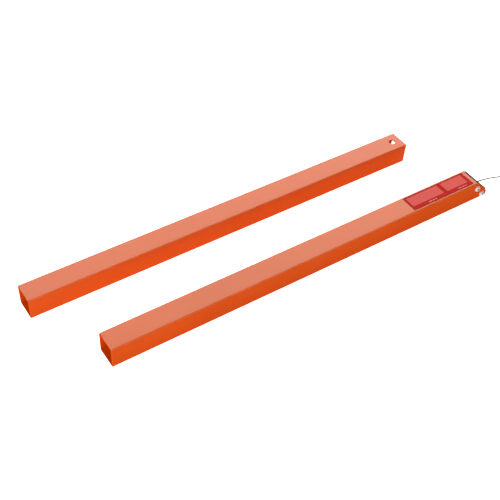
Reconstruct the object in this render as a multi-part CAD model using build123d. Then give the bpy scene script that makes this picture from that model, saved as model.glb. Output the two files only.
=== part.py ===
from build123d import *
import math
import os

# A pair of square steel marker posts lying side by side. The plain post has a pin hole near one end.
# The cable post has a sloped nose, closed by a nylon block that two threaded sleeves and four screws hold.
# A wire rope runs out through the block. Its free end carries an eye and a pin that fits the post's hole.
# The floor is z = 0, the posts run along X, and the origin is under the middle of the pair.

# Square tube shared by both posts
TUBE = 63.5
WALL = 3.0
CORNER_OUT = 3.0
CORNER_IN = 1.0
END_EASE = 0.5
HALF = TUBE / 2
INNER = TUBE - 2 * WALL

# Plain post
PLAIN_LENGTH = 1200.0
PLAIN_X0 = -656.0
PLAIN_Y = 120.9
PIN_HOLE_R = 9.5
PIN_HOLE_FROM_END = 29.5

# Cable post and its sloped nose: the top wall stops first, then the sides round over and slope down
CABLE_LENGTH = 1210.0
CABLE_X0 = -554.0
CABLE_Y = -116.5
TOP_END = 1163.0
BROW_X = 1165.0
BROW_RADIUS = 4.0
CHIN_RADIUS = 19.0
SLOPE_SUM = BROW_X + TUBE

# Label plate on top of the cable post
LABEL_X0 = 932.5
LABEL_LENGTH = 219.5
LABEL_WIDTH = 52.7
LABEL_THICK = 0.4

# Two threaded cross sleeves through the nose block, with a button-head screw in each end
CROSS_PLACES = ((1168.8, 40.0), (1193.0, 12.2))
SLEEVE_R = 6.0
SLEEVE_BORE_R = 4.02
SLEEVE_LENGTH = 57.4
SCREW_R = 4.0
SCREW_REACH = 20.0
FLANGE_R = 9.0
FLANGE_THICK = 1.1
HEAD_R = 7.6
HEAD_HEIGHT = 4.4
HEAD_ROUND = 3.2
FLANGE_CHAMFER = 0.5
SOCKET_ACROSS = 5.0
SOCKET_DEPTH = 2.9
SCREW_HOLE_R = 4.3

# Nose block: fills the inside of the nose and stands a little proud of its slope, with a bore for the rope
BLOCK_X0 = 1118.0
BLOCK_GAP = 0.15
BLOCK_RECESS = 0.2
BLOCK_PROUD = 2.6
BLOCK_BROW_RADIUS = 4.0
BLOCK_EDGE = 1.5
LIP_ROUND = 3.0
SLEEVE_FIT = 0.05
ROPE_R = 2.0
ROPE_Z = 30.5
ROPE_BORE_R = 2.4
MOUTH_R = 4.4
MOUTH_LENGTH = 20.0
BUSH_R = 5.0
BUSH_BORE_R = 2.2
BUSH_LENGTH = 14.0
BUSH_FLANGE_R = 8.0
BUSH_FLANGE = 2.0

# Stop on the rope's inner end
DRAW = 40.0
STOP_GAP = 0.3
STOP_WASHER_R = 12.0
STOP_WASHER_THICK = 2.0
STOP_FERRULE_R = 4.5
STOP_FERRULE_LENGTH = 20.0
ROPE_STUB = 2.0

# Free rope outside the nose: corners of its route, which starts inside the mouth of the block's bore
TAIL_START = 1178.0
TAIL_ROUTE = (
    (CABLE_X0 + TAIL_START, CABLE_Y, ROPE_Z),
    (647.0, -116.5, ROPE_Z),
    (684.0, -116.4, 23.4),
    (716.0, -116.5, 14.6),
    (744.0, -116.8, 5.2),
    (772.0, -117.8, 2.4),
    (808.0, -123.5, 2.15),
    (838.0, -142.5, 2.1),
    (852.0, -173.5, 3.1),
    (855.3, -198.5, 10.2),
    (855.5, -221.5, 17.1),
    (855.5, -241.5, 17.1),
)

# Eye at the rope's free end
EYE_X = 855.5
EYE_FACE_Y = -241.5
EYE_Z = 15.0
EYE_LEG = 2.1
FERRULE_LENGTH = 22.0
FERRULE_WIDTH = 8.4
FERRULE_HEIGHT = 12.6
LOOP_R = 9.0
LOOP_FLARE = 14.0
LOOP_STRAIGHT = 6.0
DEAD_END = 4.0

# Locking pin, lying on the floor
PIN_R = 9.0
PIN_LENGTH = 92.0
PIN_TIP_CHAMFER = 2.0
COLLAR_R = 14.0
COLLAR_THICK = 6.0
COLLAR_CHAMFER = 0.6
LUG_WIDTH = 20.0
LUG_THICK = 8.0
LUG_REACH = 12.0
LUG_HOLE_R = 5.0


def along_x(x0, x1, y, z, radius):
    """Cylinder with its axis along X."""
    disc = Plane((x0, y, z), x_dir=(0, 1, 0), z_dir=(1, 0, 0)) * Circle(radius)
    return extrude(disc, amount=x1 - x0)


def along_y(y0, y1, x, z, radius):
    """Cylinder with its axis along Y."""
    disc = Plane((x, y0, z), x_dir=(1, 0, 0), z_dir=(0, 1, 0)) * Circle(radius)
    return extrude(disc, amount=y1 - y0)


def ring_x(x0, x1, y, z, outer, inner):
    """Ring with its axis along X."""
    return along_x(x0, x1, y, z, outer) - along_x(x0 - 1, x1 + 1, y, z, inner)


def ring_y(y0, y1, x, z, outer, inner):
    """Ring with its axis along Y."""
    return along_y(y0, y1, x, z, outer) - along_y(y0 - 1, y1 + 1, x, z, inner)


def square_tube(x0, length, y):
    """Square tube lying on the floor along X, with the outer edges of its cut ends eased."""
    face = Plane((x0, y, HALF), x_dir=(0, 1, 0), z_dir=(1, 0, 0))
    outer = extrude(face * RectangleRounded(TUBE, TUBE, CORNER_OUT), amount=length)
    outer = chamfer(outer.faces().filter_by(Axis.X).edges(), END_EASE)
    inner = extrude(face * RectangleRounded(INNER, INNER, CORNER_IN), amount=length)
    return outer - inner


def make_plain_post():
    """Plain post, open at both ends, with a pin hole through its top and bottom walls."""
    post = square_tube(PLAIN_X0, PLAIN_LENGTH, PLAIN_Y)
    hole_x = PLAIN_X0 + PLAIN_LENGTH - PIN_HOLE_FROM_END
    drill = Pos(hole_x, PLAIN_Y, HALF) * Cylinder(PIN_HOLE_R, TUBE + 10)
    return post - drill


def nose_edges(start, face_x, slope_sum, brow_radius):
    """Nose outline from a start on its top: over the brow, down the slope and round the chin."""
    top_z = start[1]
    brow_turn = brow_radius * math.tan(math.pi / 8)
    chin_turn = CHIN_RADIUS * math.tan(math.pi / 8)
    brow = (slope_sum - top_z, top_z)
    chin = (face_x, slope_sum - face_x)
    half = math.radians(22.5)
    brow_start = (brow[0] - brow_turn, top_z)
    brow_mid = (brow_start[0] + brow_radius * math.sin(half), top_z - brow_radius * (1 - math.cos(half)))
    brow_end = (brow[0] + brow_turn / math.sqrt(2), top_z - brow_turn / math.sqrt(2))
    chin_start = (chin[0] - chin_turn / math.sqrt(2), chin[1] + chin_turn / math.sqrt(2))
    chin_end = (face_x, chin[1] - chin_turn)
    chin_mid = (face_x - CHIN_RADIUS * (1 - math.cos(half)), chin_end[1] + CHIN_RADIUS * math.sin(half))
    edges = [
        Line(start, brow_start),
        ThreePointArc(brow_start, brow_mid, brow_end),
        Line(brow_end, chin_start),
        ThreePointArc(chin_start, chin_mid, chin_end),
    ]
    return edges, chin_end


def nose_plane(y):
    """Upright plane along the post, in the post's own length and height."""
    return Plane((CABLE_X0, y, 0), x_dir=(1, 0, 0), z_dir=(0, -1, 0))


def nose_cutter():
    """Block that cuts the nose: over the brow, down the slope and round the chin."""
    start = (TOP_END, TUBE)
    edges, end = nose_edges(start, CABLE_LENGTH, SLOPE_SUM, BROW_RADIUS)
    far = CABLE_LENGTH + 20
    above = TUBE + 1
    closing = [
        Line(end, (far, end[1])),
        Line((far, end[1]), (far, above)),
        Line((far, above), (TOP_END, above)),
        Line((TOP_END, above), start),
    ]
    profile = make_face(edges + closing)
    return extrude(nose_plane(CABLE_Y - TUBE) * profile, amount=-2 * TUBE)


def top_cutter():
    """Slot that takes the top wall off in front of its end, between the side walls."""
    x = CABLE_X0 + (TOP_END + CABLE_LENGTH) / 2 + 5
    return Pos(x, CABLE_Y, TUBE) * Box(CABLE_LENGTH - TOP_END + 10, INNER, 2 * WALL + 2)


def make_cable_post():
    """Cable post with its sloped nose and the holes for the cross screws."""
    post = square_tube(CABLE_X0, CABLE_LENGTH, CABLE_Y)
    post = post - nose_cutter() - top_cutter()
    for x, z in CROSS_PLACES:
        post = post - along_y(CABLE_Y - TUBE, CABLE_Y + TUBE, CABLE_X0 + x, z, SCREW_HOLE_R)
    return post


def make_label_plate():
    """Thin label stuck to the top face of the cable post."""
    x = CABLE_X0 + LABEL_X0 + LABEL_LENGTH / 2
    return Pos(x, CABLE_Y, TUBE + LABEL_THICK / 2) * Box(LABEL_LENGTH, LABEL_WIDTH, LABEL_THICK)


def make_nose_block():
    """Nylon block inside the nose, with a lip in front of the top wall and a bore with a flared mouth."""
    start = (TOP_END + BLOCK_GAP, TUBE - BLOCK_RECESS)
    block_sum = SLOPE_SUM + BLOCK_PROUD * math.sqrt(2)
    edges, end = nose_edges(start, CABLE_LENGTH - BLOCK_RECESS, block_sum, BLOCK_BROW_RADIUS)
    roof = TUBE - WALL - BLOCK_GAP
    floor = WALL + BLOCK_GAP
    closing = [
        Line(end, (end[0], floor)),
        Line((end[0], floor), (BLOCK_X0, floor)),
        Line((BLOCK_X0, floor), (BLOCK_X0, roof)),
        Line((BLOCK_X0, roof), (start[0], roof)),
        Line((start[0], roof), start),
    ]
    width = INNER - 2 * BLOCK_GAP
    profile = make_face(edges + closing)
    block = extrude(nose_plane(CABLE_Y + width / 2) * profile, amount=width)
    lengthways = [edge for edge in block.edges().filter_by(Axis.X) if edge.length > TUBE / 2]
    block = fillet(lengthways, BLOCK_EDGE)
    crown_face = Plane((CABLE_X0, CABLE_Y, start[1] - TUBE), x_dir=(0, 1, 0), z_dir=(1, 0, 0))
    crown = extrude(crown_face * RectangleRounded(width, 2 * TUBE, LIP_ROUND), amount=2 * CABLE_LENGTH)
    block = block & crown
    back = CABLE_X0 + BLOCK_X0
    front = CABLE_X0 + CABLE_LENGTH
    mouth_x = CABLE_X0 + block_sum - ROPE_Z
    mouth = Pos(mouth_x, CABLE_Y, ROPE_Z) * Rot(0, 90, 0) * Cone(ROPE_BORE_R, MOUTH_R, MOUTH_LENGTH)
    block = block - along_x(back - 1, front + 1, CABLE_Y, ROPE_Z, ROPE_BORE_R) - mouth
    block = block - along_x(back - 1, back + BUSH_LENGTH + 0.2, CABLE_Y, ROPE_Z, BUSH_R)
    for x, z in CROSS_PLACES:
        drill = along_y(CABLE_Y - TUBE, CABLE_Y + TUBE, CABLE_X0 + x, z, SLEEVE_R + SLEEVE_FIT)
        block = block - drill
    return block


def make_cross_sleeves():
    """Threaded steel sleeves through the nose block, between the side walls."""
    y0 = CABLE_Y - SLEEVE_LENGTH / 2
    y1 = CABLE_Y + SLEEVE_LENGTH / 2
    return [ring_y(y0, y1, CABLE_X0 + x, z, SLEEVE_R, SLEEVE_BORE_R) for x, z in CROSS_PLACES]


def outer_rim(disc, side):
    """Circular edge of a disc on the side wall that lies furthest from the post."""
    rims = disc.edges().filter_by(GeomType.CIRCLE).sort_by(Axis.Y)
    return rims[0] if side < 0 else rims[-1]


def cross_screw(x, z, side):
    """Flanged button-head screw with a hexagon socket; side is -1 in the near wall, 1 in the far wall."""
    wall_y = CABLE_Y + side * HALF
    outward = Plane((x, wall_y, z), x_dir=(1, 0, 0), z_dir=(0, side, 0))
    inward = Plane((x, wall_y, z), x_dir=(1, 0, 0), z_dir=(0, -side, 0))
    flange = extrude(outward * Circle(FLANGE_R), amount=FLANGE_THICK)
    flange = chamfer(outer_rim(flange, side), FLANGE_CHAMFER)
    head = extrude(outward * Circle(HEAD_R), amount=HEAD_HEIGHT)
    head = fillet(outer_rim(head, side), HEAD_ROUND)
    shank = extrude(inward * Circle(SCREW_R), amount=SCREW_REACH)
    hexagon = RegularPolygon(SOCKET_ACROSS / 2, 6, major_radius=False)
    socket = extrude(inward.offset(-HEAD_HEIGHT) * hexagon, amount=SOCKET_DEPTH)
    return flange + head + shank - socket


def make_near_screws():
    """The two screws in the near wall."""
    return [cross_screw(CABLE_X0 + x, z, -1) for x, z in CROSS_PLACES]


def make_far_screws():
    """The two screws in the far wall."""
    return [cross_screw(CABLE_X0 + x, z, 1) for x, z in CROSS_PLACES]


def make_rope_bush():
    """Flanged brass bush in the inner end of the block's bore, which the rope slides through."""
    x = CABLE_X0 + BLOCK_X0
    sleeve = along_x(x, x + BUSH_LENGTH, CABLE_Y, ROPE_Z, BUSH_R - 0.02)
    flange = along_x(x - BUSH_FLANGE, x, CABLE_Y, ROPE_Z, BUSH_FLANGE_R)
    bush = sleeve + flange
    return bush - along_x(x - BUSH_FLANGE - 1, x + BUSH_LENGTH + 1, CABLE_Y, ROPE_Z, BUSH_BORE_R)


def stop_face():
    """Front face of the stop washer with the rope let in."""
    return CABLE_X0 + BLOCK_X0 - BUSH_FLANGE - DRAW - STOP_GAP


def make_stop_washer():
    """Loose washer on the rope in front of the stop ferrule."""
    x1 = stop_face()
    return ring_x(x1 - STOP_WASHER_THICK, x1, CABLE_Y, ROPE_Z, STOP_WASHER_R, ROPE_R + 0.15)


def make_stop_ferrule():
    """Round ferrule swaged on the rope's inner end."""
    x1 = stop_face() - STOP_WASHER_THICK
    x0 = x1 - STOP_FERRULE_LENGTH
    body = along_x(x0, x1, CABLE_Y, ROPE_Z, STOP_FERRULE_R)
    body = fillet(body.edges().filter_by(GeomType.CIRCLE), 0.8)
    return body - along_x(x0 - 1, x1 + 1, CABLE_Y, ROPE_Z, ROPE_R)


def make_rope_inner():
    """Straight length of rope inside the post, from its stop to the mouth of the bore."""
    x0 = stop_face() - STOP_WASHER_THICK - STOP_FERRULE_LENGTH - ROPE_STUB
    return along_x(x0, CABLE_X0 + TAIL_START, CABLE_Y, ROPE_Z, ROPE_R)


def corner_radii(points):
    """Largest tangent arc at each corner that leaves a little of both runs straight."""
    radii = []
    for before, here, after in zip(points, points[1:], points[2:]):
        run_in = Vector(*here) - Vector(*before)
        run_out = Vector(*after) - Vector(*here)
        turn = math.radians(run_in.get_angle(run_out))
        shorter = min(run_in.length, run_out.length)
        radii.append(0.45 * shorter / math.tan(turn / 2))
    return radii


def rope_tube(points):
    """Round rope swept along straight runs joined by tangent arcs."""
    radii = corner_radii(points)
    path = FilletPolyline(*points, radius=radii)
    start = Plane(path @ 0, z_dir=path % 0)
    tube = sweep(start * Circle(ROPE_R), path=path)
    expected = math.pi * ROPE_R**2 * path.length
    print("rope length", round(path.length, 1), "radii", [round(r, 1) for r in radii])
    print("rope volume ratio", round(tube.volume / expected, 4))
    return tube


def make_rope_tail():
    """Free rope from the mouth of the bore, down to the floor and round to the eye's ferrule."""
    return rope_tube(TAIL_ROUTE)


def make_eye_ferrule():
    """Oval ferrule that closes the eye, pressed on the rope and its turned-back end."""
    y1 = EYE_FACE_Y
    face = Plane((EYE_X, y1, EYE_Z), x_dir=(1, 0, 0), z_dir=(0, -1, 0))
    outline = RectangleRounded(FERRULE_WIDTH, FERRULE_HEIGHT, FERRULE_WIDTH / 2 - 0.01)
    body = extrude(face * outline, amount=FERRULE_LENGTH)
    return body


def make_eye_loop():
    """Teardrop eye of rope in an upright plane, with its short dead end behind the ferrule."""
    y0 = EYE_FACE_Y - FERRULE_LENGTH
    y1 = y0 - LOOP_FLARE
    y2 = y1 - LOOP_STRAIGHT
    points = (
        (EYE_X, y0, EYE_Z + EYE_LEG),
        (EYE_X, y0 - 4.5, EYE_Z + EYE_LEG),
        (EYE_X, y1, EYE_Z + LOOP_R),
        (EYE_X, y2 - LOOP_R, EYE_Z + LOOP_R),
        (EYE_X, y2 - LOOP_R, EYE_Z - LOOP_R),
        (EYE_X, y1, EYE_Z - LOOP_R),
        (EYE_X, y0 - 4.5, EYE_Z - EYE_LEG),
        (EYE_X, y0, EYE_Z - EYE_LEG),
    )
    radii = [4.0, 9.0, LOOP_R - 0.05, LOOP_R - 0.05, 9.0, 4.0]
    path = FilletPolyline(*points, radius=radii)
    start = Plane(path @ 0, z_dir=path % 0)
    loop = sweep(start * Circle(ROPE_R), path=path)
    disc = Plane((EYE_X, EYE_FACE_Y, EYE_Z - EYE_LEG), x_dir=(1, 0, 0), z_dir=(0, 1, 0)) * Circle(ROPE_R)
    dead_end = extrude(disc, amount=DEAD_END)
    print("eye volume ratio", round(loop.volume / (math.pi * ROPE_R**2 * path.length), 4))
    return [loop, dead_end]


def pin_hole_centre():
    """Centre of the pin's lug hole, inside the tip of the eye."""
    y = EYE_FACE_Y - FERRULE_LENGTH - LOOP_FLARE - LOOP_STRAIGHT - LOOP_R
    return EYE_X, y


def make_locking_pin():
    """Locking pin with a collar and a flat lug, resting on its collar's rim and its tip."""
    shank_x0 = -LUG_REACH - COLLAR_THICK
    collar = along_x(shank_x0, -LUG_REACH, 0, 0, COLLAR_R)
    collar = chamfer(collar.edges().filter_by(GeomType.CIRCLE), COLLAR_CHAMFER)
    tip_x = shank_x0 - PIN_LENGTH
    shank = along_x(tip_x, shank_x0, 0, 0, PIN_R)
    tip_edge = shank.edges().filter_by(GeomType.CIRCLE).sort_by(Axis.X)[0]
    shank = chamfer(tip_edge, PIN_TIP_CHAMFER)
    lug_plane = Plane((0, 0, -LUG_THICK / 2))
    end = extrude(lug_plane * Circle(LUG_WIDTH / 2), amount=LUG_THICK)
    web = Pos(-LUG_REACH / 2, 0, 0) * Box(LUG_REACH, LUG_WIDTH, LUG_THICK)
    lug = end + web - Cylinder(LUG_HOLE_R, LUG_THICK + 4)
    pin = collar + shank + lug
    rim_x = shank_x0 + COLLAR_CHAMFER
    lean = math.atan((COLLAR_R - PIN_R) / (PIN_LENGTH - PIN_TIP_CHAMFER + COLLAR_CHAMFER))
    rise = COLLAR_R * math.cos(lean) - rim_x * math.sin(lean)
    x, y = pin_hole_centre()
    return Pos(x, y, rise) * Rot(0, -math.degrees(lean), 0) * pin


def save(name, shape):
    """Write one node's solids to its STEP file."""
    solids = shape if isinstance(shape, list) else [shape]
    flat = []
    for item in solids:
        flat.extend(item.solids())
    whole = flat[0] if len(flat) == 1 else Compound(children=flat)
    export_step(whole, "parts/" + name + ".step")


os.makedirs("parts", exist_ok=True)

save("plain_post", make_plain_post())
save("cable_post", make_cable_post())
save("label_plate", make_label_plate())
save("nose_block", make_nose_block())
save("rope_bush", make_rope_bush())
save("cross_sleeves", make_cross_sleeves())
save("near_screws", make_near_screws())
save("far_screws", make_far_screws())
save("stop_washer", make_stop_washer())
save("stop_ferrule", make_stop_ferrule())
save("rope_inner", make_rope_inner())
save("rope_tail", make_rope_tail())
save("eye_ferrule", make_eye_ferrule())
save("eye_loop", make_eye_loop())
save("locking_pin", make_locking_pin())
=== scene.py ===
import bpy
import math
from mathutils import Matrix, Vector


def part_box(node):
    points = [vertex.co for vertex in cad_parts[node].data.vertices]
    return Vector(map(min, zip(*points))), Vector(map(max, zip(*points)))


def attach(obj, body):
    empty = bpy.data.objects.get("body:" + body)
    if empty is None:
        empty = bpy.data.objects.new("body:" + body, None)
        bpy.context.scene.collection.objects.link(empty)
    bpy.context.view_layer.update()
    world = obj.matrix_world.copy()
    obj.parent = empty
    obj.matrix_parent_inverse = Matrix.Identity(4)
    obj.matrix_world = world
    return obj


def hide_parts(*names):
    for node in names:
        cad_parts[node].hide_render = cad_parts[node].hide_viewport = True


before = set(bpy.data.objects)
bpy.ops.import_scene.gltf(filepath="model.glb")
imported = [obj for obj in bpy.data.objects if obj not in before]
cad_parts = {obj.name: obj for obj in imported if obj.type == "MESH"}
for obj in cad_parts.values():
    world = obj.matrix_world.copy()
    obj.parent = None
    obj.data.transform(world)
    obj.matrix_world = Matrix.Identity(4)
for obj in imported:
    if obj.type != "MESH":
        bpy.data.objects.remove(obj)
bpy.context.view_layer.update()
bpy.ops.object.select_all(action="DESELECT")


# The camera stands high up to the front left of the two posts and looks down along them,
# with a fairly long lens, so the posts run up to the right and the rope leaves at the right edge.
bpy.ops.object.camera_add()
camera = bpy.context.object
camera.name = "camera"
camera.data.sensor_width = 36.0
camera.data.lens = 66.98
camera_right = Vector((0.83458265, -0.54886298, 0.04712989))
camera_up = Vector((0.36445067, 0.61426992, 0.69989155))
camera_back = camera_right.cross(camera_up)
camera_turn = Matrix((camera_right, camera_up, camera_back)).transposed()
camera.matrix_world = Matrix.Translation((-1.09292, -1.40828, 1.78501)) @ camera_turn.to_4x4()
bpy.context.scene.camera = camera


# The free wire rope: galvanised steel, six strands laid round a core strand, 4 mm over all.
# It comes out of the nose block's bore, droops to the floor and turns aside to its eye.
rope_radius = 0.002
strand_radius = rope_radius / 3
rope_lay = 0.027
tail_route = (
    (0.624, -0.1165, 0.0305),
    (0.647, -0.1165, 0.0305),
    (0.684, -0.1164, 0.0234),
    (0.716, -0.1165, 0.0146),
    (0.744, -0.1168, 0.0052),
    (0.772, -0.1178, 0.0024),
    (0.808, -0.1235, 0.00215),
    (0.838, -0.1425, 0.0021),
    (0.852, -0.1735, 0.0031),
    (0.8553, -0.1985, 0.0102),
    (0.8555, -0.2215, 0.0171),
    (0.8555, -0.2415, 0.0171),
)


def rope_line(points):
    """Points along the smooth line that a rope takes through its route."""
    curve = bpy.data.curves.new("rope_route", "CURVE")
    curve.dimensions = "3D"
    curve.resolution_u = 40
    spline = curve.splines.new("NURBS")
    spline.points.add(len(points) - 1)
    for point, place in zip(spline.points, points):
        point.co = (*place, 1.0)
    spline.order_u = 3
    spline.use_endpoint_u = True
    route = bpy.data.objects.new("rope_route", curve)
    bpy.context.collection.objects.link(route)
    bpy.context.view_layer.update()
    line = bpy.data.meshes.new_from_object(route)
    places = [v.co.copy() for v in line.vertices]
    bpy.data.objects.remove(route)
    bpy.data.curves.remove(curve)
    bpy.data.meshes.remove(line)
    return places


def lay_rope(name, line, first_turn=0.0, sides=10):
    """Seven strands laid round a line, each with its length and its way round as UVs."""
    travelled = [0.0]
    for here, there in zip(line, line[1:]):
        travelled.append(travelled[-1] + (there - here).length)
    normals = []
    across = Vector((0, 0, 1))
    for i in range(len(line)):
        ahead = (line[min(i + 1, len(line) - 1)] - line[max(i - 1, 0)]).normalized()
        across = (across - across.dot(ahead) * ahead).normalized()
        normals.append((ahead, across.copy(), ahead.cross(across)))
    verts, faces, uvs = [], [], []
    for strand in range(7):
        centres = []
        for i, place in enumerate(line):
            ahead, up, side = normals[i]
            turn = first_turn + math.tau * (travelled[i] / rope_lay + strand / 6)
            out = 0.0 if strand == 6 else 2 * strand_radius
            centres.append(place + (up * math.cos(turn) + side * math.sin(turn)) * out)
        first = len(verts)
        for i, centre in enumerate(centres):
            ahead, up, side = normals[i]
            for k in range(sides):
                a = math.tau * k / sides
                verts.append(centre + (up * math.cos(a) + side * math.sin(a)) * strand_radius)
        for i in range(len(line) - 1):
            for k in range(sides):
                n = (k + 1) % sides
                row, after = first + i * sides, first + (i + 1) * sides
                faces.append((row + k, row + n, after + n, after + k))
                u0, u1 = travelled[i], travelled[i + 1]
                v0, v1 = k / sides, (k + 1) / sides
                uvs += [(u0, v0), (u0, v1), (u1, v1), (u1, v0)]
        last = first + (len(line) - 1) * sides
        faces.append(tuple(first + k for k in reversed(range(sides))))
        uvs += [(travelled[0], 0.5)] * sides
        faces.append(tuple(last + k for k in range(sides)))
        uvs += [(travelled[-1], 0.5)] * sides
    mesh = bpy.data.meshes.new(name)
    mesh.from_pydata(verts, [], faces)
    layer = mesh.uv_layers.new(name="along_strand")
    for loop, uv in zip(layer.data, uvs):
        loop.uv = uv
    for face in mesh.polygons:
        face.use_smooth = True
    piece = bpy.data.objects.new(name, mesh)
    bpy.context.collection.objects.link(piece)
    return piece


def start_finish(name, colour, metallic, roughness):
    """A new material with its shader, whose plain numbers sit on the shader's own sockets."""
    material = bpy.data.materials.new(name)
    material.use_nodes = True
    nodes = material.node_tree.nodes
    shader = nodes["Principled BSDF"]
    shader.inputs["Base Color"].default_value = (*colour, 1.0)
    shader.inputs["Metallic"].default_value = metallic
    shader.inputs["Roughness"].default_value = roughness
    return material, nodes, material.node_tree.links, shader


galvanised, nodes, links, shader = start_finish("galvanised_strand", (0.5, 0.51, 0.52), 0.35, 0.45)
strand_uv = nodes.new("ShaderNodeUVMap")
strand_uv.uv_map = "along_strand"
split_uv = nodes.new("ShaderNodeSeparateXYZ")
links.new(strand_uv.outputs["UV"], split_uv.inputs["Vector"])
along = nodes.new("ShaderNodeMath")
along.operation = "MULTIPLY"
along.inputs[1].default_value = 90.0
links.new(split_uv.outputs["X"], along.inputs[0])
around = nodes.new("ShaderNodeMath")
around.operation = "MULTIPLY"
around.inputs[1].default_value = 6.0
links.new(split_uv.outputs["Y"], around.inputs[0])
wire_turn = nodes.new("ShaderNodeMath")
wire_turn.operation = "ADD"
links.new(along.outputs[0], wire_turn.inputs[0])
links.new(around.outputs[0], wire_turn.inputs[1])
wire_place = nodes.new("ShaderNodeMath")
wire_place.operation = "PINGPONG"
wire_place.inputs[1].default_value = 0.5
links.new(wire_turn.outputs[0], wire_place.inputs[0])
wire_groove = nodes.new("ShaderNodeMapRange")
wire_groove.inputs["From Max"].default_value = 0.22
wire_groove.interpolation_type = "SMOOTHSTEP"
links.new(wire_place.outputs[0], wire_groove.inputs["Value"])
coords = nodes.new("ShaderNodeTexCoord")
bloom = nodes.new("ShaderNodeTexNoise")
bloom.inputs["Scale"].default_value = 180.0
bloom.inputs["Detail"].default_value = 4.0
links.new(coords.outputs["Object"], bloom.inputs["Vector"])
zinc_tone = nodes.new("ShaderNodeValToRGB")
zinc_tone.color_ramp.elements[0].position = 0.35
zinc_tone.color_ramp.elements[0].color = (0.36, 0.365, 0.36, 1)
zinc_tone.color_ramp.elements[1].position = 0.7
zinc_tone.color_ramp.elements[1].color = (0.5, 0.505, 0.5, 1)
links.new(bloom.outputs["Fac"], zinc_tone.inputs["Fac"])
# The grooves between the wires are painted darker: painted shade in the crevices of the lay.
groove_painted_shade = nodes.new("ShaderNodeMix")
groove_painted_shade.data_type = "RGBA"
groove_painted_shade.inputs["A"].default_value = (0.26, 0.265, 0.265, 1)
links.new(wire_groove.outputs["Result"], groove_painted_shade.inputs["Factor"])
links.new(zinc_tone.outputs["Color"], groove_painted_shade.inputs["B"])
links.new(groove_painted_shade.outputs["Result"], shader.inputs["Base Color"])
wire_bump = nodes.new("ShaderNodeBump")
wire_bump.inputs["Strength"].default_value = 0.5
wire_bump.inputs["Distance"].default_value = 0.00012
links.new(wire_groove.outputs["Result"], wire_bump.inputs["Height"])
links.new(wire_bump.outputs["Normal"], shader.inputs["Normal"])

tail_line = rope_line(tail_route)
rope_tail = lay_rope("free_rope", tail_line)
rope_tail.data.materials.append(galvanised)
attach(rope_tail, "rope")
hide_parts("rope_tail")


# The eye: the same rope turned back on itself through the pin's lug and pressed in a ferrule,
# standing upright, with a few millimetres of dead end left behind the ferrule.
ferrule_low, ferrule_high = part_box("eye_ferrule")
ferrule_middle = (ferrule_low + ferrule_high) / 2
eye_x, eye_y, eye_z = ferrule_middle.x, ferrule_low.y, ferrule_middle.z
leg_height = 0.0021
loop_height = 0.009
leg_end, loop_start, loop_end = eye_y - 0.0045, eye_y - 0.014, eye_y - 0.029
eye_route = (
    (eye_x, eye_y, eye_z + leg_height),
    (eye_x, leg_end, eye_z + leg_height),
    (eye_x, loop_start, eye_z + loop_height),
    (eye_x, loop_end, eye_z + loop_height),
    (eye_x, loop_end, eye_z - loop_height),
    (eye_x, loop_start, eye_z - loop_height),
    (eye_x, leg_end, eye_z - leg_height),
    (eye_x, eye_y, eye_z - leg_height),
)
eye_rope = lay_rope("eye_rope", rope_line(eye_route))
dead_line = [Vector((eye_x, ferrule_high.y + 0.0005 * i, eye_z - leg_height)) for i in range(9)]
dead_end = lay_rope("eye_dead_end", dead_line, first_turn=1.0)
for piece in (eye_rope, dead_end):
    piece.data.materials.append(galvanised)
    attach(piece, "rope")
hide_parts("eye_loop")


# The eye's ferrule is an oval aluminium sleeve, squeezed three times in a press over both ropes.
# Each squeeze leaves a shallow waist, and the ends keep their full size and a rounded rim.
ferrule_size = ferrule_high - ferrule_low
bpy.ops.mesh.primitive_cylinder_add(
    vertices=48,
    radius=ferrule_size.x / 2,
    depth=ferrule_size.y,
    location=ferrule_middle,
    rotation=(math.pi / 2, 0, 0),
)
eye_ferrule = bpy.context.object
eye_ferrule.name = "pressed_ferrule"
bpy.ops.object.transform_apply(location=True, rotation=True, scale=True)
waists = (-0.0066, 0.0, 0.0066)
waist_half, waist_edge = 0.0017, 0.0024
waist_narrow, waist_low = 0.91, 0.95
bpy.ops.object.mode_set(mode="EDIT")
for waist in waists:
    for side in (-waist_edge, -waist_half, waist_half, waist_edge):
        bpy.ops.mesh.select_all(action="SELECT")
        bpy.ops.mesh.bisect(plane_co=ferrule_middle + Vector((0, waist + side, 0)), plane_no=(0, 1, 0))
bpy.ops.object.mode_set(mode="OBJECT")
oval_stretch = (ferrule_size.z - ferrule_size.x) / 2
for v in eye_ferrule.data.vertices:
    off = v.co - ferrule_middle
    off.z += math.copysign(oval_stretch, off.z)
    if any(abs(off.y - waist) < waist_half + 0.0001 for waist in waists):
        off.x *= waist_narrow
        off.z *= waist_low
    v.co = ferrule_middle + off
rim = eye_ferrule.modifiers.new("rim", "BEVEL")
rim.width = 0.0004
rim.segments = 3
rim.limit_method = "ANGLE"
rim.angle_limit = math.radians(50)
bpy.ops.object.modifier_apply(modifier="rim")
bpy.ops.object.shade_smooth_by_angle(angle=math.radians(40))

pressed_aluminium, nodes, links, shader = start_finish("pressed_aluminium", (0.62, 0.62, 0.63), 0.9, 0.38)
coords = nodes.new("ShaderNodeTexCoord")
die_marks = nodes.new("ShaderNodeTexNoise")
die_marks.inputs["Scale"].default_value = 700.0
die_marks.inputs["Detail"].default_value = 5.0
links.new(coords.outputs["Object"], die_marks.inputs["Vector"])
handled = nodes.new("ShaderNodeTexNoise")
handled.inputs["Scale"].default_value = 90.0
links.new(coords.outputs["Object"], handled.inputs["Vector"])
dull = nodes.new("ShaderNodeMapRange")
dull.inputs["To Min"].default_value = 0.28
dull.inputs["To Max"].default_value = 0.55
links.new(handled.outputs["Fac"], dull.inputs["Value"])
links.new(dull.outputs["Result"], shader.inputs["Roughness"])
tint = nodes.new("ShaderNodeValToRGB")
tint.color_ramp.elements[0].position = 0.3
tint.color_ramp.elements[0].color = (0.46, 0.46, 0.47, 1)
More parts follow.
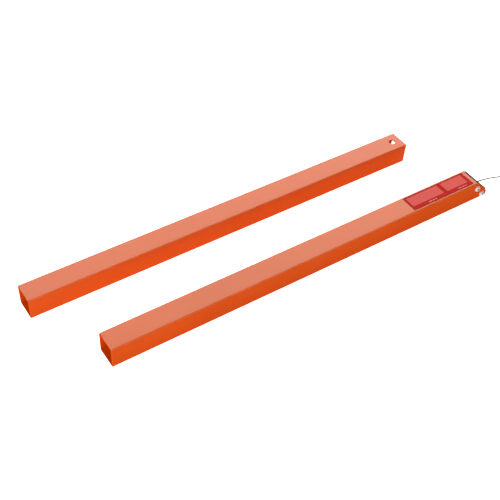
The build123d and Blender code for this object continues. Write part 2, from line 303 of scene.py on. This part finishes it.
tint.color_ramp.elements[1].position = 0.75
tint.color_ramp.elements[1].color = (0.72, 0.72, 0.73, 1)
links.new(handled.outputs["Fac"], tint.inputs["Fac"])
links.new(tint.outputs["Color"], shader.inputs["Base Color"])
die_bump = nodes.new("ShaderNodeBump")
die_bump.inputs["Strength"].default_value = 0.5
die_bump.inputs["Distance"].default_value = 0.00008
links.new(die_marks.outputs["Fac"], die_bump.inputs["Height"])
links.new(die_bump.outputs["Normal"], shader.inputs["Normal"])
eye_ferrule.data.materials.append(pressed_aluminium)
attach(eye_ferrule, "rope")
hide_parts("eye_ferrule")


# The locking pin is turned from one steel bar, with a collar and a flat lug drilled for the eye.
# It is zinc plated, so it is bright with a faint yellow-blue bloom and fine turning marks.
def plated_steel(name, colour, axis, ring_scale, metallic=0.8):
    """Bright zinc over turned steel: rings left by the tool across an axis, under a soft bloom."""
    material, nodes, links, shader = start_finish(name, colour, metallic, 0.3)
    coords = nodes.new("ShaderNodeTexCoord")
    bloom = nodes.new("ShaderNodeTexNoise")
    bloom.inputs["Scale"].default_value = 60.0
    bloom.inputs["Detail"].default_value = 5.0
    links.new(coords.outputs["Object"], bloom.inputs["Vector"])
    tone = nodes.new("ShaderNodeValToRGB")
    tone.color_ramp.elements[0].position = 0.3
    tone.color_ramp.elements[0].color = (colour[0] * 0.72, colour[1] * 0.74, colour[2] * 0.78, 1)
    tone.color_ramp.elements[1].position = 0.72
    tone.color_ramp.elements[1].color = (colour[0] * 1.12, colour[1] * 1.1, colour[2] * 1.02, 1)
    links.new(bloom.outputs["Fac"], tone.inputs["Fac"])
    links.new(tone.outputs["Color"], shader.inputs["Base Color"])
    gloss = nodes.new("ShaderNodeMapRange")
    gloss.inputs["To Min"].default_value = 0.2
    gloss.inputs["To Max"].default_value = 0.46
    links.new(bloom.outputs["Fac"], gloss.inputs["Value"])
    links.new(gloss.outputs["Result"], shader.inputs["Roughness"])
    rings = nodes.new("ShaderNodeTexWave")
    rings.bands_direction = axis
    rings.inputs["Scale"].default_value = ring_scale
    rings.inputs["Distortion"].default_value = 1.5
    links.new(coords.outputs["Object"], rings.inputs["Vector"])
    tool_marks = nodes.new("ShaderNodeBump")
    tool_marks.inputs["Strength"].default_value = 0.25
    tool_marks.inputs["Distance"].default_value = 0.00005
    links.new(rings.outputs["Fac"], tool_marks.inputs["Height"])
    links.new(tool_marks.outputs["Normal"], shader.inputs["Normal"])
    return material


plated_pin = plated_steel("plated_pin", (0.58, 0.59, 0.6), "X", 260.0)
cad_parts["locking_pin"].material_slots[0].material = plated_pin


# The rope inside the post runs straight from its stop to the mouth of the block's bore, a hand's breadth.
# It is one piece with the free rope, so its strands run on without a break.
inner_low, inner_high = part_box("rope_inner")
inner_length = inner_high.x - inner_low.x
inner_steps = 140
inner_line = [
    Vector((inner_low.x + inner_length * i / inner_steps, tail_route[0][1], tail_route[0][2]))
    for i in range(inner_steps + 1)
]
rope_inner = lay_rope("inner_rope", inner_line, first_turn=-math.tau * inner_length / rope_lay)
rope_inner.data.materials.append(galvanised)
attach(rope_inner, "rope")
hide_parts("rope_inner")


# The posts are welded square steel tube with a satin powder coat in safety orange, fired on in one coat.
# The coat has a fine orange-peel skin and has rubbed a little in handling. Its corners are painted lighter,
# partly for the coat worn thin there and partly as a painted highlight along the edges.
def powder_coat(name, middle_y):
    """Orange powder coat on a tube along X whose centre-line is at middle_y."""
    material, nodes, links, shader = start_finish(name, (0.68, 0.072, 0.0005), 0.0, 0.2)
    shader.inputs["Specular IOR Level"].default_value = 0.49
    shader.inputs["Specular Tint"].default_value = (1.0, 1.0, 0.75, 1.0)
    coords = nodes.new("ShaderNodeTexCoord")
    cloud = nodes.new("ShaderNodeTexNoise")
    cloud.inputs["Scale"].default_value = 5.0
    cloud.inputs["Detail"].default_value = 3.0
    links.new(coords.outputs["Object"], cloud.inputs["Vector"])
    coat = nodes.new("ShaderNodeValToRGB")
    coat.color_ramp.elements[0].position = 0.3
    coat.color_ramp.elements[0].color = (0.66, 0.069, 0.0004, 1)
    coat.color_ramp.elements[1].position = 0.7
    coat.color_ramp.elements[1].color = (0.7, 0.075, 0.0006, 1)
    links.new(cloud.outputs["Fac"], coat.inputs["Fac"])
    place = nodes.new("ShaderNodeSeparateXYZ")
    links.new(coords.outputs["Object"], place.inputs["Vector"])
    from_corner = []
    for axis, middle in (("Y", middle_y), ("Z", 0.03175)):
        off = nodes.new("ShaderNodeMath")
        off.operation = "SUBTRACT"
        off.inputs[1].default_value = middle
        links.new(place.outputs[axis], off.inputs[0])
        size = nodes.new("ShaderNodeMath")
        size.operation = "ABSOLUTE"
        links.new(off.outputs[0], size.inputs[0])
        near = nodes.new("ShaderNodeMapRange")
        near.inputs["From Min"].default_value = 0.0288
        near.inputs["From Max"].default_value = 0.0312
        links.new(size.outputs[0], near.inputs["Value"])
        from_corner.append(near)
    corner = nodes.new("ShaderNodeMath")
    corner.operation = "MULTIPLY"
    links.new(from_corner[0].outputs["Result"], corner.inputs[0])
    links.new(from_corner[1].outputs["Result"], corner.inputs[1])
    rub = nodes.new("ShaderNodeTexNoise")
    rub.inputs["Scale"].default_value = 38.0
    rub.inputs["Detail"].default_value = 6.0
    links.new(coords.outputs["Object"], rub.inputs["Vector"])
    rubbed_and_highlit = nodes.new("ShaderNodeMapRange")
    rubbed_and_highlit.inputs["From Min"].default_value = 0.3
    rubbed_and_highlit.inputs["From Max"].default_value = 0.7
    rubbed_and_highlit.inputs["To Min"].default_value = 0.35
    rubbed_and_highlit.inputs["To Max"].default_value = 0.65
    links.new(rub.outputs["Fac"], rubbed_and_highlit.inputs["Value"])
    corner_wear_and_highlight = nodes.new("ShaderNodeMath")
    corner_wear_and_highlight.operation = "MULTIPLY"
    links.new(corner.outputs[0], corner_wear_and_highlight.inputs[0])
    links.new(rubbed_and_highlit.outputs["Result"], corner_wear_and_highlight.inputs[1])
    # The corners are painted lighter: partly the coat worn thin and rubbed, partly a painted highlight
    # along the edges.
    worn_and_highlit_corner = nodes.new("ShaderNodeMix")
    worn_and_highlit_corner.data_type = "RGBA"
    worn_and_highlit_corner.inputs["B"].default_value = (0.95, 0.25, 0.1, 1)
    links.new(corner_wear_and_highlight.outputs[0], worn_and_highlit_corner.inputs["Factor"])
    links.new(coat.outputs["Color"], worn_and_highlit_corner.inputs["A"])
    links.new(worn_and_highlit_corner.outputs["Result"], shader.inputs["Base Color"])
    gloss = nodes.new("ShaderNodeMapRange")
    gloss.inputs["From Min"].default_value = 0.3
    gloss.inputs["From Max"].default_value = 0.7
    gloss.inputs["To Min"].default_value = 0.18
    gloss.inputs["To Max"].default_value = 0.23
    links.new(rub.outputs["Fac"], gloss.inputs["Value"])
    links.new(gloss.outputs["Result"], shader.inputs["Roughness"])
    peel = nodes.new("ShaderNodeTexNoise")
    peel.inputs["Scale"].default_value = 520.0
    peel.inputs["Detail"].default_value = 2.0
    links.new(coords.outputs["Object"], peel.inputs["Vector"])
    skin = nodes.new("ShaderNodeBump")
    skin.inputs["Strength"].default_value = 0.2
    skin.inputs["Distance"].default_value = 0.00008
    links.new(peel.outputs["Fac"], skin.inputs["Height"])
    links.new(skin.outputs["Normal"], shader.inputs["Normal"])
    return material


for post in ("plain_post", "cable_post"):
    post_low, post_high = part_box(post)
    post_coat = powder_coat(post + "_coat", (post_low.y + post_high.y) / 2)
    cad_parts[post].material_slots[0].material = post_coat


# The label is a printed film stuck to the cable post's top: a dark outline, a red ground, a divider,
# and two pale hatched fields with a few short bars under each. It carries no lettering.
label_low, label_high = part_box("label_plate")
border = 0.0014
half_width = (label_high.y - label_low.y) / 2 - border
fields = ((0.0075, 0.119), (0.1325, 0.2085))
field_sides = (-0.0125, 0.0215)
divider = (0.1248, 0.1275)
bars = (
    (0.057, 0.068),
    (0.071, 0.078),
    (0.0805, 0.086),
    (0.168, 0.179),
    (0.182, 0.189),
    (0.1915, 0.197),
)
bar_sides = (-0.0215, -0.0185)
bpy.ops.mesh.primitive_cube_add(size=1.0, location=(label_low + label_high) / 2)
label = bpy.context.object
label.name = "printed_label"
bpy.ops.transform.resize(value=label_high - label_low)
bpy.ops.object.transform_apply(location=True, rotation=True, scale=True)
bpy.ops.object.mode_set(mode="EDIT")
bpy.ops.mesh.select_mode(type="EDGE")
bpy.ops.mesh.select_all(action="DESELECT")
bpy.ops.object.mode_set(mode="OBJECT")
for edge in label.data.edges:
    ends = [label.data.vertices[v].co for v in edge.vertices]
    edge.select = abs(ends[0].z - ends[1].z) > 0.0002
bpy.ops.object.mode_set(mode="EDIT")
bpy.ops.mesh.bevel(offset=0.0015, segments=4)
label_x, label_y = label_low.x, (label_low.y + label_high.y) / 2
label_length = label_high.x - label_low.x
along_cuts = [border, label_length - border]
for stretch in (*fields, divider, *bars):
    along_cuts += stretch
for cut in along_cuts:
    bpy.ops.mesh.select_all(action="SELECT")
    bpy.ops.mesh.bisect(plane_co=(label_x + cut, 0, 0), plane_no=(1, 0, 0))
for cut in (-half_width, half_width, *field_sides, *bar_sides):
    bpy.ops.mesh.select_all(action="SELECT")
    bpy.ops.mesh.bisect(plane_co=(0, label_y + cut, 0), plane_no=(0, 1, 0))
bpy.ops.object.mode_set(mode="OBJECT")


def film_print(name, colour, second=None):
    """Printed film with a faint mottle, or with slanting hatch lines in a second colour."""
    material, nodes, links, shader = start_finish(name, colour, 0.0, 0.5)
    shader.inputs["Specular IOR Level"].default_value = 0.04
    coords = nodes.new("ShaderNodeTexCoord")
    mottle = nodes.new("ShaderNodeTexNoise")
    mottle.inputs["Scale"].default_value = 240.0
    mottle.inputs["Detail"].default_value = 4.0
    links.new(coords.outputs["Object"], mottle.inputs["Vector"])
    ink = nodes.new("ShaderNodeValToRGB")
    ink.color_ramp.elements[0].position = 0.3
    ink.color_ramp.elements[0].color = (colour[0] * 0.9, colour[1] * 0.85, colour[2] * 0.85, 1)
    ink.color_ramp.elements[1].position = 0.7
    ink.color_ramp.elements[1].color = (colour[0] * 1.05, colour[1] * 1.1, colour[2] * 1.1, 1)
    links.new(mottle.outputs["Fac"], ink.inputs["Fac"])
    links.new(ink.outputs["Color"], shader.inputs["Base Color"])
    if second:
        hatch = nodes.new("ShaderNodeTexWave")
        hatch.bands_direction = "DIAGONAL"
        hatch.inputs["Scale"].default_value = 120.0
        hatch.inputs["Distortion"].default_value = 0.4
        links.new(coords.outputs["Object"], hatch.inputs["Vector"])
        mix = nodes.new("ShaderNodeMix")
        mix.data_type = "RGBA"
        mix.inputs["B"].default_value = (*second, 1)
        links.new(hatch.outputs["Fac"], mix.inputs["Factor"])
        links.new(ink.outputs["Color"], mix.inputs["A"])
        links.new(mix.outputs["Result"], shader.inputs["Base Color"])
    grain = nodes.new("ShaderNodeBump")
    grain.inputs["Strength"].default_value = 0.2
    grain.inputs["Distance"].default_value = 0.00003
    links.new(mottle.outputs["Fac"], grain.inputs["Height"])
    links.new(grain.outputs["Normal"], shader.inputs["Normal"])
    return material


for ink in (
    film_print("label_outline", (0.16, 0.015, 0.008)),
    film_print("label_ground", (0.6, 0.018, 0.008)),
    film_print("label_field", (0.82, 0.145, 0.125), second=(0.74, 0.1, 0.086)),
    film_print("label_divider", (0.33, 0.025, 0.015)),
    film_print("label_bars", (0.9, 0.27, 0.25)),
):
    label.data.materials.append(ink)


def within(value, stretches):
    """Whether a distance lies in one of the stretches."""
    return any(low < value < high for low, high in stretches)


for face in label.data.polygons:
    x, y = face.center.x - label_x, face.center.y - label_y
    face.material_index = 0
    if face.normal.z < 0.5 or not border < x < label_length - border or abs(y) > half_width:
        continue
    face.material_index = 1
    if within(x, fields) and within(y, [field_sides]):
        face.material_index = 2
    if within(x, [divider]):
        face.material_index = 3
    if within(x, bars) and within(y, [bar_sides]):
        face.material_index = 4
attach(label, "cable_post")
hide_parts("label_plate")


# Four flanged button-head screws, two in each side wall, hold the nose block's sleeves.
# They are cold headed, thread rolled and bright zinc plated, and the hexagon socket is painted near-black
# as painted shade in the recess.
# One is turned, and the others are its copies.
near_low, near_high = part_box("near_screws")
far_low, far_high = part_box("far_screws")
flange_radius, flange_thick, flange_chamfer = 0.009, 0.0011, 0.0005
head_radius, head_height, head_round = 0.0076, 0.0044, 0.0032
shank_radius, shank_length = 0.004, 0.02
socket_across, socket_depth = 0.005, 0.0029
thread_pitch, thread_depth = 0.00125, 0.0005
plain_length, thread_run_out, tip_chamfer = 0.003, 0.001, 0.0008
head_flat = head_radius - head_round


def turned(name, outline, centre, sides=64):
    """A turned piece: an outline of distance-along and radius pairs, spun about an axis along Y."""
    mesh = bpy.data.meshes.new(name)
    points = [Vector((radius, along, 0.0)) + centre for along, radius in outline]
    mesh.from_pydata(points, [(i, i + 1) for i in range(len(points) - 1)], [])
    piece = bpy.data.objects.new(name, mesh)
    bpy.context.collection.objects.link(piece)
    bpy.ops.object.select_all(action="DESELECT")
    bpy.context.view_layer.objects.active = piece
    piece.select_set(True)
    bpy.ops.object.mode_set(mode="EDIT")
    bpy.ops.mesh.select_all(action="SELECT")
    bpy.ops.mesh.spin(steps=sides, angle=math.tau, center=centre, axis=(0, 1, 0))
    bpy.ops.mesh.select_all(action="SELECT")
    bpy.ops.mesh.remove_doubles(threshold=0.00001)
    bpy.ops.mesh.normals_make_consistent(inside=False)
    bpy.ops.object.mode_set(mode="OBJECT")
    return piece


outline = [(-head_height, 0.0)]
for step in range(9):
    turn = math.pi / 2 * step / 8
    radius = head_flat + head_round * math.sin(turn)
    outline.append((head_round - head_height - head_round * math.cos(turn), radius))
outline += [
    (-flange_thick, head_radius),
    (-flange_thick, flange_radius - flange_chamfer),
    (flange_chamfer - flange_thick, flange_radius),
    (0.0, flange_radius),
    (0.0, shank_radius),
    (plain_length, shank_radius),
]
threads = int((shank_length - plain_length - thread_run_out) / thread_pitch)
for thread in range(threads):
    start = plain_length + thread_pitch * thread
    outline.append((start + thread_pitch * 0.45, shank_radius - thread_depth))
    outline.append((start + thread_pitch, shank_radius - 0.00002))
outline += [(shank_length, shank_radius - tip_chamfer), (shank_length, 0.0)]

bright_steel = plated_steel("bright_screw", (0.86, 0.86, 0.85), "Y", 420.0, metallic=0.2)
# Near-black for the socket walls: painted shade in the recess, not a colour of the plated steel.
painted_socket_shade, nodes, links, shader = start_finish("socket_painted_shade", (0.012, 0.012, 0.014), 0.2, 0.6)
coords = nodes.new("ShaderNodeTexCoord")
socket_roughness_noise = nodes.new("ShaderNodeTexNoise")
socket_roughness_noise.inputs["Scale"].default_value = 300.0
links.new(coords.outputs["Object"], socket_roughness_noise.inputs["Vector"])
socket_roughness = nodes.new("ShaderNodeMapRange")
socket_roughness.inputs["To Min"].default_value = 0.35
socket_roughness.inputs["To Max"].default_value = 0.7
links.new(socket_roughness_noise.outputs["Fac"], socket_roughness.inputs["Value"])
links.new(socket_roughness.outputs["Result"], shader.inputs["Roughness"])

screw = turned("flanged_screw", outline, Vector((0, 0, 0)))
screw.data.materials.append(bright_steel)
screw.data.materials.append(painted_socket_shade)
bpy.ops.mesh.primitive_cylinder_add(
    vertices=6,
    radius=socket_across / 2 / math.cos(math.pi / 6),
    depth=socket_depth * 2,
    location=(0, -head_height, 0),
    rotation=(math.pi / 2, 0, 0),
)
key = bpy.context.object
key.data.materials.append(painted_socket_shade)
recess = screw.modifiers.new("recess", "BOOLEAN")
recess.object = key
recess.operation = "DIFFERENCE"
recess.solver = "EXACT"
recess.material_mode = "TRANSFER"
bpy.ops.object.select_all(action="DESELECT")
bpy.context.view_layer.objects.active = screw
screw.select_set(True)
bpy.ops.object.modifier_apply(modifier="recess")
bpy.data.objects.remove(key)
bpy.ops.object.shade_smooth_by_angle(angle=math.radians(32))

screw_places = (
    (near_low.x + flange_radius, near_high.z - flange_radius),
    (near_high.x - flange_radius, near_low.z + flange_radius),
)
screw_sides = (
    ("near", near_low.y + head_height, "near_screws", 0.0),
    ("far", far_high.y - head_height, "far_screws", math.pi),
)
for side, face_y, node, turn in screw_sides:
    for level, (x, z) in zip(("upper", "lower"), screw_places):
        copy = screw.copy()
        copy.data = screw.data.copy()
        copy.name = side + "_" + level + "_screw"
        bpy.context.collection.objects.link(copy)
        spin = 0.4 if level == "upper" else 1.15
        turn_round = Matrix.Rotation(turn, 4, "Z") @ Matrix.Rotation(spin, 4, "Y")
        copy.data.transform(Matrix.Translation((x, face_y, z)) @ turn_round)
        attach(copy, "cable_post")
        if level == "upper":
            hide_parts(node)
bpy.data.objects.remove(screw)


def moulded(name, colour, roughness, grain_size, depth):
    """Plastic with a fine grain and a slight change of tone."""
    material, nodes, links, shader = start_finish(name, colour, 0.0, roughness)
    coords = nodes.new("ShaderNodeTexCoord")
    grain = nodes.new("ShaderNodeTexNoise")
    grain.inputs["Scale"].default_value = grain_size
    grain.inputs["Detail"].default_value = 4.0
    links.new(coords.outputs["Object"], grain.inputs["Vector"])
    tone = nodes.new("ShaderNodeValToRGB")
    tone.color_ramp.elements[0].position = 0.3
    tone.color_ramp.elements[0].color = (colour[0] * 0.8, colour[1] * 0.8, colour[2] * 0.8, 1)
    tone.color_ramp.elements[1].position = 0.75
    tone.color_ramp.elements[1].color = (colour[0] * 1.25, colour[1] * 1.25, colour[2] * 1.25, 1)
    links.new(grain.outputs["Fac"], tone.inputs["Fac"])
    links.new(tone.outputs["Color"], shader.inputs["Base Color"])
    skin = nodes.new("ShaderNodeBump")
    skin.inputs["Strength"].default_value = 0.4
    skin.inputs["Distance"].default_value = depth
    links.new(grain.outputs["Fac"], skin.inputs["Height"])
    links.new(skin.outputs["Normal"], shader.inputs["Normal"])
    return material


# The nose block is moulded in black nylon and fills the sloped nose, with a dark edge past the cut top.
# It is held by two threaded steel sleeves through it, and the rope slides in its bore.
block_nylon = moulded("block_nylon", (0.004, 0.004, 0.0045), 0.75, 260.0, 0.00005)
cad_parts["nose_block"].material_slots[0].material = block_nylon
turned_sleeve = plated_steel("turned_sleeve", (0.48, 0.48, 0.49), "Y", 380.0)
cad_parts["cross_sleeves"].material_slots[0].material = turned_sleeve


# A brass bush in the block's bore guides the rope, and a swaged ferrule behind a washer stops it.
# The bush is turned, the washer stamped and zinc plated, and the ferrule pressed from aluminium.
turned_brass = plated_steel("turned_brass", (0.58, 0.4, 0.14), "X", 420.0)
washer_zinc = plated_steel("washer_zinc", (0.62, 0.63, 0.65), "Y", 300.0)
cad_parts["rope_bush"].material_slots[0].material = turned_brass
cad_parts["stop_washer"].material_slots[0].material = washer_zinc
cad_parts["stop_ferrule"].material_slots[0].material = pressed_aluminium


# The floor is a plain pale sheet that glows a little, and the room is dim grey above and black below.
# A broad panel behind lights the tops, another at the left lights the open ends,
# and a weak one in front lifts the front faces.
bpy.ops.object.select_all(action="DESELECT")
bpy.ops.mesh.primitive_plane_add(size=400.0, location=(0, 0, -0.0002))
floor = bpy.context.object
floor.name = "floor"
floor_white, nodes, links, shader = start_finish("floor_white", (0.86, 0.86, 0.86), 0.0, 0.9)
shader.inputs["Emission Color"].default_value = (1, 1, 1, 1)
shader.inputs["Emission Strength"].default_value = 1.1
floor.data.materials.append(floor_white)
floor.visible_glossy = False

world = bpy.data.worlds.new("dim_room")
bpy.context.scene.world = world
world.use_nodes = True
sky = world.node_tree
ways = sky.nodes.new("ShaderNodeTexCoord")
split = sky.nodes.new("ShaderNodeSeparateXYZ")
sky.links.new(ways.outputs["Generated"], split.inputs["Vector"])
height = sky.nodes.new("ShaderNodeMapRange")
height.inputs["From Min"].default_value = -0.1
height.inputs["From Max"].default_value = 0.1
height.inputs["To Min"].default_value = 0.0
height.inputs["To Max"].default_value = 0.95
sky.links.new(split.outputs["Z"], height.inputs["Value"])
sky.links.new(height.outputs["Result"], sky.nodes["Background"].inputs["Strength"])
bpy.context.scene.view_settings.view_transform = "Standard"


def soft_panel(name, place, aim, width, height, power):
    """A large soft light that doesn't show itself."""
    bpy.ops.object.light_add(type="AREA", location=place)
    panel = bpy.context.object
    panel.name = name
    panel.data.shape = "RECTANGLE"
    panel.data.size = width
    panel.data.size_y = height
    panel.data.energy = power
    panel.rotation_euler = (Vector(aim) - Vector(place)).to_track_quat("-Z", "Y").to_euler()
    panel.visible_camera = False
    return panel


soft_panel("mirror_panel", (1.6, 2.3, 2.7), (0.0, 0.0, 0.0), 5.4, 3.0, 189)
soft_panel("edge_panel", (1.5, -2.5, 1.95), (0.0, 0.0, 0.0), 1.4, 1.0, 10)
soft_panel("end_panel", (-3.2, -1.0, 1.1), (-0.5, 0.0, 0.0), 1.6, 1.2, 83)
